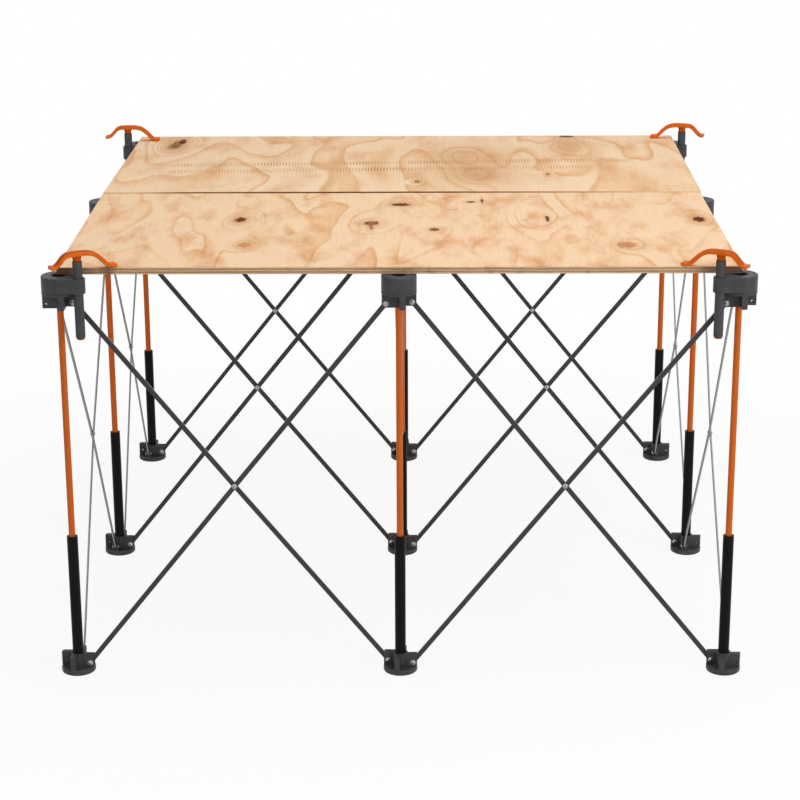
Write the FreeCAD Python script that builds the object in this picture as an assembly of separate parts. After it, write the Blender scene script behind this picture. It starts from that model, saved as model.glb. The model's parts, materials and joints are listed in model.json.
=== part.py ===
import FreeCAD, Part
import math
import os

# Collapsible work support: nine telescoping legs in a three by three grid, joined by
# crossed flat bars that scissor shut, with two plywood panels laid on the heads and
# four bow-handled hold-downs clipped to the corner heads.
# Frame: origin on the floor under the centre leg, +X right, +Y to the rear, +Z up. Millimetres.

# Grid of legs
LEG_PITCH = 602.0             # between neighbouring leg axes, opened
WORK_HEIGHT = 762.0           # floor to the top of the heads, 30 in

# Pivots and the crossed bars
PIVOT_RADIUS = 23.4           # leg axis to each bar pivot
FOOT_PIVOT_HEIGHT = 19.0      # floor to the lower pivots
HEAD_PIVOT_DROP = 51.0        # top of a head down to the upper pivots
BAR_OFFSET = 6.2              # bar ends lie this far beside the leg axis
BAR_WIDTH = 9.0
BAR_THICK = 2.6
BAR_FLAT = 45.0               # straight end of a bar, measured inward from its pivot
BAR_NOSE = 20.0               # half the straight stretch at the crossing
CROSSING_GAP = 0.3            # between the two bars where they cross
PIN_RADIUS = 2.4
PIN_RUNNING_FIT = 0.1         # radial play of a bar on its pin
PIN_SEAT_FIT = 0.05           # radial play of a pin in its casting
RIVET_HEAD_RADIUS = 4.3
RIVET_HEAD_HEIGHT = 1.6

# Cast heads and feet
CASTING_RADIUS = 31.5
ARM_REACH = 31.0              # leg axis to the outer end of an arm
ARM_WALL = 3.4                # each cheek of the slot that takes a bar
SLOT_SIDE_PLAY = 0.5          # bar to cheek
SLOT_END_PLAY = 1.6           # rounded bar end to the closed end of the slot
CAP_HEIGHT = 33.5             # round cap of a head
CAP_EDGE = 2.0                # rounding of the cap's top edge
CAP_GROOVE_RISE = 4.0         # parting groove above the cap's lower edge
CAP_GROOVE_WIDTH = 1.2
CAP_GROOVE_DEPTH = 0.6
SOCKET_RADIUS = 12.7          # accessory socket in the top of a head
SOCKET_DEPTH = 29.0
SOCKET_CHAMFER = 1.0
HEAD_ARM_DROP = 24.5          # arms below the cap
HEAD_BOSS_WALL = 4.5
BASE_HEIGHT = 11.0            # round base of a foot
BASE_EDGE = 3.0
FOOT_HEIGHT = 36.0
FOOT_BOSS_WALL = 3.5
FOOT_FLOOR = 9.0              # solid plastic below the tube

# Telescoping legs
UPPER_RADIUS = 6.0
UPPER_WALL = 1.3
UPPER_SEAT = 24.0             # length of tube held in the head
LOWER_RADIUS = 10.0
LOWER_WALL = 1.5
LOWER_LENGTH = 257.0
BUSH_LENGTH = 22.0            # guide bush at the mouth of the lower tube
BUSH_LIP = 2.0
PLUG_LENGTH = 30.0            # slider on the bottom end of the upper tube
PLUG_BASE = 6.0
STOP_GAP = 0.4                # slider to the floor of the foot, opened
TUBE_SEAT_FIT = 0.05
SLIDE_FIT = 0.1

# Plywood panels
BOARD_THICK = 12.7
BOARD_REST = 0.2              # panel above the heads
BOARD_SETBACK = 2.0           # front edge behind the front leg axes
BOARD_REAR_OVERHANG = 15.0
FRONT_BOARD_OVERHANG = 4.0    # past the outer leg axes, each side
REAR_BOARD_OVERHANG = 6.5
REAR_BOARD_SHIFT = 5.0        # rear panel lies off centre, to the right
SEAM_Y = 9.0
SEAM_GAP = 0.6
BOARD_CHAMFER = 0.6

# Hold-down clamps
COLLAR_PLAY = 0.4             # collar to head
COLLAR_LIP = 1.2              # wall of the collar where it ends on the head
COLLAR_BRIDGE = 2.7           # plastic between the head and the stem
COLLAR_HEIGHT = 28.0
COLLAR_DROP = 0.6             # top of collar below the top of the head
COLLAR_EDGE = 2.0             # chamfer round the foot of the sleeve
SLEEVE_WALL = 3.8
STEM_RADIUS = 8.6
STEM_FIT = 0.1
STEM_LENGTH = 139.0
STEM_RISE = 17.0              # stem end above the panel
ROD_RADIUS = 5.0
ROD_FIT = 0.1
ROD_TIP = 3.0                 # rod end below the stem
ROD_TIP_RADIUS = 7.4
ROD_TIP_EDGE = 2.2            # rounding of the rod's end
STEM_EDGE = 1.2               # chamfer of the stem's lower end
NECK_RADIUS = 7.3
NECK_GAP = 0.3
BOW_RISE = 36.0               # top of the bow above the panel
BOW_BAND = 9.2
BOW_WIDTH = 15.2
BOW_CROWN = 1.2
BOW_LONG = 71.0               # neck axis to the tip of the holding foot
BOW_SHORT = 50.0              # neck axis to the tip of the lever end
BOW_LONG_TOE = 12.0
BOW_SHORT_TOE = 9.0
BOW_TOE_THICK = 7.5
BOW_TOE_FLARE = 2.5           # each side
BOW_TOE_NOTCH = 2.6
BOW_SHORT_LIFT = 6.5          # lever end above the panel
BOW_TOE_REST = 0.2            # holding foot above the panel
BOW_LONG_SHOULDER = 24.6
BOW_SHORT_SHOULDER = 20.6
BOW_SHOULDER_STEP = 3.4       # inner shoulder nearer the neck
BOW_LEG_RUN = 11.2            # band measured level at its feet
BOW_LONG_BULGE = 5.0
BOW_SHORT_BULGE = 1.5

# Each corner's clamp: (column, row, stem direction, bow direction), degrees from +X
CLAMPS = {
    "front_left": (-1, -1, 330.0, 27.0),
    "front_right": (1, -1, 210.0, 153.0),
    "rear_left": (-1, 1, 240.0, 2.0),
    "rear_right": (1, 1, 315.0, 166.0),
}

ROWS = {"front": -1, "middle": 0, "rear": 1}
COLUMNS = {"left": -1, "centre": 0, "right": 1}

CUT_PAST = 1.0                # a cutting shape runs past the face it opens

# Heights and places that follow from the sizes above
head_pivot_z = WORK_HEIGHT - HEAD_PIVOT_DROP
pivot_rise = head_pivot_z - FOOT_PIVOT_HEIGHT
pivot_run = LEG_PITCH - 2 * PIVOT_RADIUS
bar_length = math.hypot(pivot_run, pivot_rise)
cap_z = WORK_HEIGHT - CAP_HEIGHT
slot_half = BAR_THICK / 2 + SLOT_SIDE_PLAY
arm_half = slot_half + ARM_WALL
slot_margin = BAR_WIDTH / 2 + SLOT_END_PLAY
lower_bore = LOWER_RADIUS - LOWER_WALL
lower_top = FOOT_FLOOR + LOWER_LENGTH
plug_z = FOOT_FLOOR + STOP_GAP
upper_top = cap_z - HEAD_ARM_DROP + UPPER_SEAT
board_z = WORK_HEIGHT + BOARD_REST
board_top = board_z + BOARD_THICK
stem_top = board_top + STEM_RISE
stem_bottom = stem_top - STEM_LENGTH
collar_bore = CASTING_RADIUS + COLLAR_PLAY
stem_reach = collar_bore + COLLAR_BRIDGE + STEM_FIT + STEM_RADIUS
crossing_half = CROSSING_GAP / 2 + BAR_THICK


def vec(x, y, z=0.0):
    return FreeCAD.Vector(x, y, z)


def cylinder(radius, z0, z1, x=0.0, y=0.0):
    return Part.makeCylinder(radius, z1 - z0, vec(x, y, z0))


def pipe(outer, inner, z0, z1):
    return cylinder(outer, z0, z1).cut(cylinder(inner, z0, z1))


def block(x0, x1, y0, y1, z0, z1):
    return Part.makeBox(x1 - x0, y1 - y0, z1 - z0, vec(x0, y0, z0))


def turned(shape, degrees):
    copy = shape.copy()
    copy.rotate(vec(0, 0), vec(0, 0, 1), degrees)
    return copy


def moved(shape, x, y, z=0.0):
    copy = shape.copy()
    copy.translate(vec(x, y, z))
    return copy


def edges_at(shape, z, radius):
    """Circular edges of a given radius that lie at height z."""
    found = []
    for edge in shape.Edges:
        curve = edge.Curve
        if isinstance(curve, Part.Circle) and abs(curve.Radius - radius) < 1e-6:
            if abs(edge.BoundBox.ZMin - z) < 1e-6 and abs(edge.BoundBox.ZMax - z) < 1e-6:
                found.append(edge)
    return found


def rivet(y0, y1):
    """Dome-headed pin along Y that clamps the faces at y0 and y1."""
    bulge = (RIVET_HEAD_HEIGHT ** 2 + RIVET_HEAD_RADIUS ** 2) / (2 * RIVET_HEAD_HEIGHT)
    half_angle = math.asin(RIVET_HEAD_RADIUS / bulge) / 2
    via_radius = bulge * math.sin(half_angle)
    via_drop = bulge * (1 - math.cos(half_angle))
    low = y0 - RIVET_HEAD_HEIGHT
    high = y1 + RIVET_HEAD_HEIGHT
    corners = [
        vec(RIVET_HEAD_RADIUS, y0),
        vec(PIN_RADIUS, y0),
        vec(PIN_RADIUS, y1),
        vec(RIVET_HEAD_RADIUS, y1),
    ]
    edges = [Part.Arc(vec(0, low), vec(via_radius, low + via_drop), corners[0]).toShape()]
    for start, end in zip(corners, corners[1:]):
        edges.append(Part.LineSegment(start, end).toShape())
    edges.append(Part.Arc(corners[3], vec(via_radius, high - via_drop), vec(0, high)).toShape())
    edges.append(Part.LineSegment(vec(0, high), vec(0, low)).toShape())
    face = Part.Face(Part.Wire(edges))
    return face.revolve(vec(0, 0), vec(0, 1), 360)


def pinwheel(z0, z1, side):
    """Four slotted arms; side +1 puts each arm anticlockwise of its spoke, -1 clockwise."""
    offset = side * BAR_OFFSET
    arm = block(0, ARM_REACH, offset - arm_half, offset + arm_half, z0, z1)
    arm = arm.common(cylinder(ARM_REACH, z0, z1))
    arms = arm
    for degrees in (90, 180, 270):
        arms = arms.fuse(turned(arm, degrees))
    return arms


def cut_slots(casting, pivot_z, z0, z1, side, used):
    """Cut the pin hole of every arm, and the slot of each arm that a bar runs into."""
    offset = side * BAR_OFFSET
    slot_start = PIVOT_RADIUS - slot_margin
    slot_end = CASTING_RADIUS + CUT_PAST
    slot = block(slot_start, slot_end, offset - slot_half, offset + slot_half, z0, z1)
    start = offset - arm_half - CUT_PAST
    hole_radius = PIN_RADIUS + PIN_SEAT_FIT
    hole_length = 2 * (arm_half + CUT_PAST)
    hole = Part.makeCylinder(hole_radius, hole_length, vec(PIVOT_RADIUS, start, pivot_z), vec(0, 1, 0))
    for degrees in (0, 90, 180, 270):
        casting = casting.cut(turned(hole, degrees))
        if degrees in used:
            casting = casting.cut(turned(slot, degrees))
    return casting


def make_head(used):
    arm_z = cap_z - HEAD_ARM_DROP
    cap = cylinder(CASTING_RADIUS, cap_z, WORK_HEIGHT)
    cap = cap.makeFillet(CAP_EDGE, edges_at(cap, WORK_HEIGHT, CASTING_RADIUS))
    groove_z = cap_z + CAP_GROOVE_RISE
    groove_floor = CASTING_RADIUS - CAP_GROOVE_DEPTH
    cap = cap.cut(pipe(CASTING_RADIUS + CUT_PAST, groove_floor, groove_z, groove_z + CAP_GROOVE_WIDTH))
    boss = cylinder(UPPER_RADIUS + HEAD_BOSS_WALL, arm_z, cap_z)
    head = pinwheel(arm_z, cap_z, 1).fuse([boss, cap])
    head = cut_slots(head, head_pivot_z, arm_z - CUT_PAST, head_pivot_z + slot_margin, 1, used)
    socket_floor = WORK_HEIGHT - SOCKET_DEPTH
    socket = cylinder(SOCKET_RADIUS, socket_floor, WORK_HEIGHT + CUT_PAST)
    mouth = Part.makeCone(
        SOCKET_RADIUS, SOCKET_RADIUS + SOCKET_CHAMFER, SOCKET_CHAMFER, vec(0, 0, WORK_HEIGHT - SOCKET_CHAMFER)
    )
    seat = cylinder(UPPER_RADIUS + TUBE_SEAT_FIT, arm_z - CUT_PAST, upper_top)
    return head.cut([socket, mouth, seat]).removeSplitter()


def make_foot(used):
    base = cylinder(CASTING_RADIUS, 0, BASE_HEIGHT)
    rims = edges_at(base, 0, CASTING_RADIUS) + edges_at(base, BASE_HEIGHT, CASTING_RADIUS)
    base = base.makeFillet(BASE_EDGE, rims)
    boss = cylinder(LOWER_RADIUS + FOOT_BOSS_WALL, BASE_EDGE, FOOT_HEIGHT)
    foot = pinwheel(BASE_EDGE, FOOT_HEIGHT, -1).fuse([boss, base])
    foot_over = FOOT_HEIGHT + CUT_PAST
    foot = cut_slots(foot, FOOT_PIVOT_HEIGHT, FOOT_PIVOT_HEIGHT - slot_margin, foot_over, -1, used)
    seat = cylinder(LOWER_RADIUS + TUBE_SEAT_FIT, FOOT_FLOOR, foot_over)
    return foot.cut(seat).removeSplitter()


def make_lower_tube():
    return pipe(LOWER_RADIUS, lower_bore, FOOT_FLOOR, lower_top)


def make_bush():
    body = cylinder(lower_bore - TUBE_SEAT_FIT, lower_top - BUSH_LENGTH, lower_top)
    lip = cylinder(LOWER_RADIUS, lower_top, lower_top + BUSH_LIP)
    bore_low = lower_top - BUSH_LENGTH - CUT_PAST
    bore = cylinder(UPPER_RADIUS + SLIDE_FIT, bore_low, lower_top + BUSH_LIP + CUT_PAST)
    return body.fuse(lip).cut(bore).removeSplitter()


def make_upper_tube():
    return pipe(UPPER_RADIUS, UPPER_RADIUS - UPPER_WALL, plug_z + PLUG_BASE, upper_top)


def make_plug():
    body = cylinder(lower_bore - SLIDE_FIT, plug_z, plug_z + PLUG_LENGTH)
    bore = cylinder(UPPER_RADIUS + TUBE_SEAT_FIT, plug_z + PLUG_BASE, plug_z + PLUG_LENGTH + CUT_PAST)
    return body.cut(bore)


def make_bar():
    """Flat bar along X, bowed in Y so that its ends stand off and its middle meets its twin."""
    end = bar_length / 2 + BAR_WIDTH / 2
    flat = bar_length / 2 - BAR_FLAT
    middle = crossing_half - BAR_THICK / 2
    stations = [
        (-end, BAR_OFFSET),
        (-flat, BAR_OFFSET),
        (-BAR_NOSE, middle),
        (BAR_NOSE, middle),
        (flat, BAR_OFFSET),
        (end, BAR_OFFSET),
    ]
    near = [vec(x, y - BAR_THICK / 2, -BAR_WIDTH / 2) for x, y in stations]
    far = [vec(x, y + BAR_THICK / 2, -BAR_WIDTH / 2) for x, y in reversed(stations)]
    outline = Part.makePolygon(near + far + near[:1])
    bar = Part.Face(outline).extrude(vec(0, 0, BAR_WIDTH))
    depth = BAR_OFFSET + BAR_THICK
    straight = block(-bar_length / 2, bar_length / 2, 0, depth, -BAR_WIDTH / 2, BAR_WIDTH / 2)
    rounds = []
    for x in (-bar_length / 2, bar_length / 2):
        rounds.append(Part.makeCylinder(BAR_WIDTH / 2, depth, vec(x, 0, 0), vec(0, 1, 0)))
    bar = bar.common(straight.fuse(rounds))
    for x in (-bar_length / 2, 0, bar_length / 2):
        hole = Part.makeCylinder(PIN_RADIUS + PIN_RUNNING_FIT, depth, vec(x, 0, 0), vec(0, 1, 0))
        bar = bar.cut(hole)
    return bar.removeSplitter()


def bay_placement(start, spoke, rising):
    """Place a bar between two legs; its bowed side faces the bay's mid-plane."""
    left = vec(-spoke.y, spoke.x)
    middle = start + spoke * (LEG_PITCH / 2) + vec(0, 0, FOOT_PIVOT_HEIGHT + pivot_rise / 2)
    lean = 1 if rising else -1
    along = spoke * (lean * pivot_run / bar_length) + vec(0, 0, pivot_rise / bar_length)
    across = left * (-1 if rising else 1)
    turn = FreeCAD.Rotation(along, across, along.cross(across), "XYZ")
    return FreeCAD.Placement(middle, turn)


def placed(shape, placement):
    copy = shape.copy()
    copy.Placement = placement.multiply(copy.Placement)
    return copy


def make_boards():
    boards = []
    front = (-LEG_PITCH + BOARD_SETBACK, SEAM_Y, LEG_PITCH + FRONT_BOARD_OVERHANG, 0)
    rear_half = LEG_PITCH + REAR_BOARD_OVERHANG
    rear = (SEAM_Y + SEAM_GAP, LEG_PITCH + BOARD_REAR_OVERHANG, rear_half, REAR_BOARD_SHIFT)
    for y0, y1, half, shift in (front, rear):
        board = block(shift - half, shift + half, y0, y1, board_z, board_top)
        boards.append(board.makeChamfer(BOARD_CHAMFER, board.Edges))
    return boards


def tangent_fairing(small_x, small_radius, big_radius, z0, z1):
    """Prism over the outer tangents of a circle round the origin and a smaller one at small_x."""
    lean = math.acos((big_radius - small_radius) / small_x)
    corners = []
    for x, radius, side in ((0, big_radius, 1), (small_x, small_radius, 1), (small_x, small_radius, -1)):
        corners.append(vec(x + radius * math.cos(lean), side * radius * math.sin(lean), z0))
    corners.append(vec(big_radius * math.cos(lean), -big_radius * math.sin(lean), z0))
    return Part.Face(Part.makePolygon(corners + corners[:1])).extrude(vec(0, 0, z1 - z0))


def make_collar(stem_degrees, exit_degrees):
    """Saddle that hugs the cap of a head, clear of the way the head leaves by, with the stem's sleeve."""
    high = WORK_HEIGHT - COLLAR_DROP
    low = high - COLLAR_HEIGHT
    sleeve_radius = STEM_RADIUS + STEM_FIT + SLEEVE_WALL
    sleeve = cylinder(sleeve_radius, low, high, stem_reach)
    sleeve = sleeve.makeChamfer(COLLAR_EDGE, edges_at(sleeve, low, sleeve_radius))
    fairing = tangent_fairing(stem_reach, sleeve_radius, collar_bore + COLLAR_LIP, low + COLLAR_EDGE, high)
    bore = cylinder(STEM_RADIUS + STEM_FIT, low - CUT_PAST, high + CUT_PAST, stem_reach)
    collar = fairing.fuse(sleeve).cut([cylinder(collar_bore, low - CUT_PAST, high + CUT_PAST), bore])
    way_out = block(0, 3 * CASTING_RADIUS, -collar_bore, collar_bore, low - CUT_PAST, high + CUT_PAST)
    return turned(collar.removeSplitter(), stem_degrees).cut(turned(way_out, exit_degrees))


def make_stem():
    stem = cylinder(STEM_RADIUS, stem_bottom, stem_top)
    stem = stem.makeChamfer(STEM_EDGE, edges_at(stem, stem_bottom, STEM_RADIUS))
    return stem.cut(cylinder(ROD_RADIUS + ROD_FIT, stem_bottom - CUT_PAST, stem_top + CUT_PAST))


def bulged(start, end, bulge):
    """Arc from start to end that stands off its chord by bulge, upwards when travelling along +X."""
    chord = end - start
    normal = chord.cross(vec(0, 1, 0))
    normal.normalize()
    return Part.Arc(start, (start + end) * 0.5 + normal * bulge, end).toShape()


def make_toe(root_x, tip_x, low, high):
    """Fishtail end of the bow, wider and notched at its tip."""
    inward = 1 if root_x > tip_x else -1
    wide = BOW_WIDTH / 2 + BOW_TOE_FLARE
    corners = [
        vec(root_x, -BOW_WIDTH / 2, low),
        vec(tip_x, -wide, low),
        vec(tip_x + inward * BOW_TOE_NOTCH, 0, low),
        vec(tip_x, wide, low),
        vec(root_x, BOW_WIDTH / 2, low),
    ]
    return Part.Face(Part.makePolygon(corners + corners[:1])).extrude(vec(0, 0, high - low))


def make_bow():
    """Bow with its neck on the Z axis, holding foot towards +X, and the rod that runs down the stem."""
    top = board_top + BOW_RISE
    under = top - BOW_BAND
    foot_low = board_top + BOW_TOE_REST
    foot_high = foot_low + BOW_TOE_THICK
    lever_low = board_top + BOW_SHORT_LIFT
    lever_high = lever_low + BOW_TOE_THICK
    ankle = BOW_LONG - BOW_LONG_TOE
    wrist = -(BOW_SHORT - BOW_SHORT_TOE)
    heel = ankle - BOW_LEG_RUN
    palm = wrist + BOW_LEG_RUN
    outer = [
        vec(wrist, 0, lever_low),
        vec(-BOW_SHORT_SHOULDER, 0, top - BOW_CROWN),
        vec(BOW_LONG_SHOULDER, 0, top - BOW_CROWN),
        vec(ankle, 0, foot_high),
    ]
    inner = [
        vec(heel, 0, foot_low),
        vec(BOW_LONG_SHOULDER - BOW_SHOULDER_STEP, 0, under - BOW_CROWN),
        vec(BOW_SHOULDER_STEP - BOW_SHORT_SHOULDER, 0, under - BOW_CROWN),
        vec(palm, 0, lever_low),
    ]
    edges = [
        bulged(outer[0], outer[1], BOW_SHORT_BULGE),
        bulged(outer[1], outer[2], BOW_CROWN),
        bulged(outer[2], outer[3], BOW_LONG_BULGE),
        Part.LineSegment(outer[3], vec(ankle, 0, foot_low)).toShape(),
        Part.LineSegment(vec(ankle, 0, foot_low), inner[0]).toShape(),
        bulged(inner[0], inner[1], -BOW_LONG_BULGE),
        bulged(inner[1], inner[2], -BOW_CROWN),
        bulged(inner[2], inner[3], -BOW_SHORT_BULGE),
        Part.LineSegment(inner[3], outer[0]).toShape(),
    ]
    band = Part.Face(Part.Wire(edges)).extrude(vec(0, BOW_WIDTH, 0))
    band.translate(vec(0, -BOW_WIDTH / 2, 0))
    foot = make_toe(heel, BOW_LONG, foot_low, foot_high)
    lever = make_toe(palm, -BOW_SHORT, lever_low, lever_high)
    neck = cylinder(NECK_RADIUS, stem_top + NECK_GAP, under)
    rod = cylinder(ROD_RADIUS, stem_bottom - NECK_GAP, under)
    tip_end = stem_bottom - NECK_GAP - ROD_TIP
    tip = cylinder(ROD_TIP_RADIUS, tip_end, stem_bottom - NECK_GAP)
    tip = tip.makeFillet(ROD_TIP_EDGE, edges_at(tip, tip_end, ROD_TIP_RADIUS))
    return band.fuse([foot, lever, neck, rod, tip]).removeSplitter()


def leg_name(column, row):
    column_name = [name for name, place in COLUMNS.items() if place == column][0]
    row_name = [name for name, place in ROWS.items() if place == row][0]
    return row_name + "_" + column_name


def save(name, solids):
    shape = Part.makeCompound(solids)
    shape.exportStep("parts/" + name + ".step")
    print(name, len(solids), "solids", round(shape.Volume / 1000, 2), "cm3")


os.makedirs("parts", exist_ok=True)

head_pin = rivet(BAR_OFFSET - arm_half, BAR_OFFSET + arm_half)
foot_pin = rivet(-BAR_OFFSET - arm_half, -BAR_OFFSET + arm_half)
lower_tube = make_lower_tube()
bush = make_bush()
upper_tube = make_upper_tube()
plug = make_plug()

# Legs: every casting has four arms, and a slot and pin only where a neighbouring leg's bar ends.
SPOKES = {0: (1, 0), 90: (0, 1), 180: (-1, 0), 270: (0, -1)}
for row in ROWS.values():
    for column in COLUMNS.values():
        x = column * LEG_PITCH
        y = row * LEG_PITCH
        used = []
        for degrees, (dx, dy) in SPOKES.items():
            if abs(column + dx) < 2 and abs(row + dy) < 2:
                used.append(degrees)
        top_solids = [moved(make_head(used), x, y)]
        base_solids = [moved(make_foot(used), x, y), moved(lower_tube, x, y), moved(bush, x, y)]
        for degrees in used:
            upper_pin = turned(moved(head_pin, PIVOT_RADIUS, 0, head_pivot_z), degrees)
            lower_pin = turned(moved(foot_pin, PIVOT_RADIUS, 0, FOOT_PIVOT_HEIGHT), degrees)
            top_solids.append(moved(upper_pin, x, y))
            base_solids.append(moved(lower_pin, x, y))
        slider_solids = [moved(upper_tube, x, y), moved(plug, x, y)]
        name = leg_name(column, row)
        save("lower_leg_" + name, base_solids)
        # The centre leg's head and upper tube share one node.
        if name == "middle_centre":
            save("leg_top_" + name, top_solids + slider_solids)
        else:
            save("head_" + name, top_solids)
            save("upper_tube_" + name, slider_solids)

# Crossed bars: in each bay one rises along +X or +Y and its twin falls; the twin carries the rivet.
bar = make_bar()
crossing_rivet = rivet(-crossing_half, crossing_half)
for row_name, row in ROWS.items():
    for half_name, column in (("left", -1), ("right", 0)):
        start = vec(column * LEG_PITCH, row * LEG_PITCH)
        rise = bay_placement(start, vec(1, 0), True)
        fall = bay_placement(start, vec(1, 0), False)
        bay = "bar_" + row_name + "_" + half_name
        save(bay + "_rising", [placed(bar, rise)])
        save(bay + "_falling", [placed(bar, fall), placed(crossing_rivet, fall)])
for column_name, column in COLUMNS.items():
    for half_name, row in (("front", -1), ("rear", 0)):
        start = vec(column * LEG_PITCH, row * LEG_PITCH)
        rise = bay_placement(start, vec(0, 1), True)
        fall = bay_placement(start, vec(0, 1), False)
        bay = "bar_" + column_name + "_" + half_name
        save(bay + "_rising", [placed(bar, rise)])
        save(bay + "_falling", [placed(bar, fall), placed(crossing_rivet, fall)])

# Panels, and the clamps at the four corners
save("plywood_panels", make_boards())
stem = make_stem()
bow = make_bow()
collars = []
for name, (column, row, stem_degrees, bow_degrees) in CLAMPS.items():
    x = column * LEG_PITCH
    y = row * LEG_PITCH
    exit_degrees = math.degrees(math.atan2(-row, -column))
    collars.append(moved(make_collar(stem_degrees, exit_degrees), x, y))
    stem_x = x + stem_reach * math.cos(math.radians(stem_degrees))
    stem_y = y + stem_reach * math.sin(math.radians(stem_degrees))
    save("clamp_stem_" + name, [moved(stem, stem_x, stem_y)])
    save("clamp_bow_" + name, [moved(turned(bow, bow_degrees), stem_x, stem_y)])
save("clamp_collars", collars)
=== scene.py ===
# %% [markdown]
# # A folding work support, dressed around its CAD model
# The CAD model gives every leg, bar and clamp its size and place. This lesson loads it as a fixed
# frame and adds what a CAD model leaves out: finishes, the plywood, smooth clamp bows and rivets.

# %% Load the frame
import json
import math
import random

import bmesh
import bpy
from mathutils import Matrix, Vector


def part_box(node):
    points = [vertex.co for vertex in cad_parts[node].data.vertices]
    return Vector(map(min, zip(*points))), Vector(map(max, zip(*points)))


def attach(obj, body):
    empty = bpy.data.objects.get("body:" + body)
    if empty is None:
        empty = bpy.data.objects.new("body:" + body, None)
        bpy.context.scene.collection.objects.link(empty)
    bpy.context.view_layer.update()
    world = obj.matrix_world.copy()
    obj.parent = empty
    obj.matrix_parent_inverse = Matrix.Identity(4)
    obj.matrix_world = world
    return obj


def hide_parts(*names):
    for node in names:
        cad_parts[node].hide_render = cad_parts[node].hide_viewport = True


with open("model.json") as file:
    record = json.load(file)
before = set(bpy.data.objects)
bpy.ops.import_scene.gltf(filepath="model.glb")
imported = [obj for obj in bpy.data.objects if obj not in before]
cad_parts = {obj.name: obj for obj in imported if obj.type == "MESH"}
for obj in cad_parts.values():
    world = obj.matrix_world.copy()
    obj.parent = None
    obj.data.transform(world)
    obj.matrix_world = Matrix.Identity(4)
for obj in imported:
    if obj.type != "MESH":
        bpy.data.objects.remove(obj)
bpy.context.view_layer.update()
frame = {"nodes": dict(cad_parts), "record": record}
MM = 0.001
scene = bpy.context.scene
scene.view_settings.view_transform = "Standard"

# %% [markdown]
# ## Helpers for every finish
# Colours are written as sRGB hex values, as a paint card gives them, and Cycles works in linear light,
# so one function converts them. Node trees are built by one function that adds a node, sets its
# properties and fills or links its inputs, which keeps each finish short enough to read. A third one
# starts a material from an empty tree and hands over its object coordinates.

# %% Colour and node helpers
MATH = "ShaderNodeMath"
MIX = "ShaderNodeMix"
NOISE = "ShaderNodeTexNoise"
RAMP = "ShaderNodeValToRGB"
RANGE = "ShaderNodeMapRange"
MAPPING = "ShaderNodeMapping"
VECTOR = "ShaderNodeVectorMath"
BUMP = "ShaderNodeBump"
SURFACE = "ShaderNodeBsdfPrincipled"
OUTPUT = "ShaderNodeOutputMaterial"
SPLIT = "ShaderNodeSeparateXYZ"
JOIN = "ShaderNodeCombineXYZ"
CELLS = "ShaderNodeTexVoronoi"


def linear(hex_colour):
    parts = [int(hex_colour[i : i + 2], 16) / 255 for i in (1, 3, 5)]
    return tuple(p / 12.92 if p <= 0.04045 else ((p + 0.055) / 1.055) ** 2.4 for p in parts) + (1.0,)


def add(tree, kind, inputs=None, stops=None, **settings):
    """Add a node, set its properties and colour stops, and fill or link its inputs."""
    node = tree.nodes.new(kind)
    for name, value in settings.items():
        setattr(node, name, value)
    for socket, value in (inputs or {}).items():
        for source in value if isinstance(value, list) else [value]:
            if isinstance(source, bpy.types.Node):
                source = next(output for output in source.outputs if output.enabled)
            if isinstance(source, bpy.types.NodeSocket):
                tree.links.new(source, node.inputs[socket])
            else:
                node.inputs[socket].default_value = source
    for index, (position, colour) in enumerate(stops or []):
        elements = node.color_ramp.elements
        element = elements[index] if index < 2 else elements.new(position)
        element.position = position
        element.color = linear(colour)
    return node


def blank_material(name):
    """A material with an empty tree, and its object coordinates in metres."""
    material = bpy.data.materials.new(name)
    material.use_nodes = True
    material.node_tree.nodes.clear()
    place = add(material.node_tree, "ShaderNodeTexCoord").outputs["Object"]
    return material, material.node_tree, place


print("helpers ready")

# %% [markdown]
# ## Moulded nylon, rubber and acetal
# Heads, feet and clamp collars are injection moulded in dark grey nylon with chopped glass. The tool
# is spark eroded, so the skin has a fine pebble and looks matt, with paler flow patches a few
# centimetres wide. The pebble is really about a fifth of a millimetre; it is drawn three times as
# coarse so that it shows. The stems are a softer grey rubber, and the guide bushes black acetal.

# %% Moulded plastics
PEBBLE = 0.6 * MM
PEBBLE_DEPTH = 0.12 * MM
FLOW_PATCH = 22 * MM
FLOW_GLOSS = 0.06


def moulded(name, dark, pale, roughness):
    material, tree, place = blank_material(name)
    flow = add(tree, NOISE, {"Vector": place, "Scale": 1 / FLOW_PATCH, "Detail": 3.0})
    pebble = add(tree, NOISE, {"Vector": place, "Scale": 1 / PEBBLE, "Detail": 2.0})
    colour = add(tree, RAMP, {"Fac": flow}, stops=[(0.3, dark), (0.72, pale)])
    span = {"To Min": roughness - FLOW_GLOSS, "To Max": roughness + FLOW_GLOSS}
    gloss = add(tree, RANGE, {"Value": flow, **span})
    bump = add(tree, BUMP, {"Height": pebble, "Strength": 0.3, "Distance": PEBBLE_DEPTH})
    look = {"Base Color": colour, "Roughness": gloss, "IOR": 1.53, "Specular IOR Level": 0.22}
    add(tree, OUTPUT, {"Surface": add(tree, SURFACE, {**look, "Normal": bump})})
    return material


nylon = moulded("glass_filled_nylon_dark_grey", "#39383b", "#464548", 0.5)
stem_rubber = moulded("moulded_rubber_grey", "#403f41", "#4a494a", 0.58)
bush_acetal = moulded("acetal_black", "#1a1a1b", "#232324", 0.4)
print(nylon.name, stem_rubber.name, bush_acetal.name)

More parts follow.
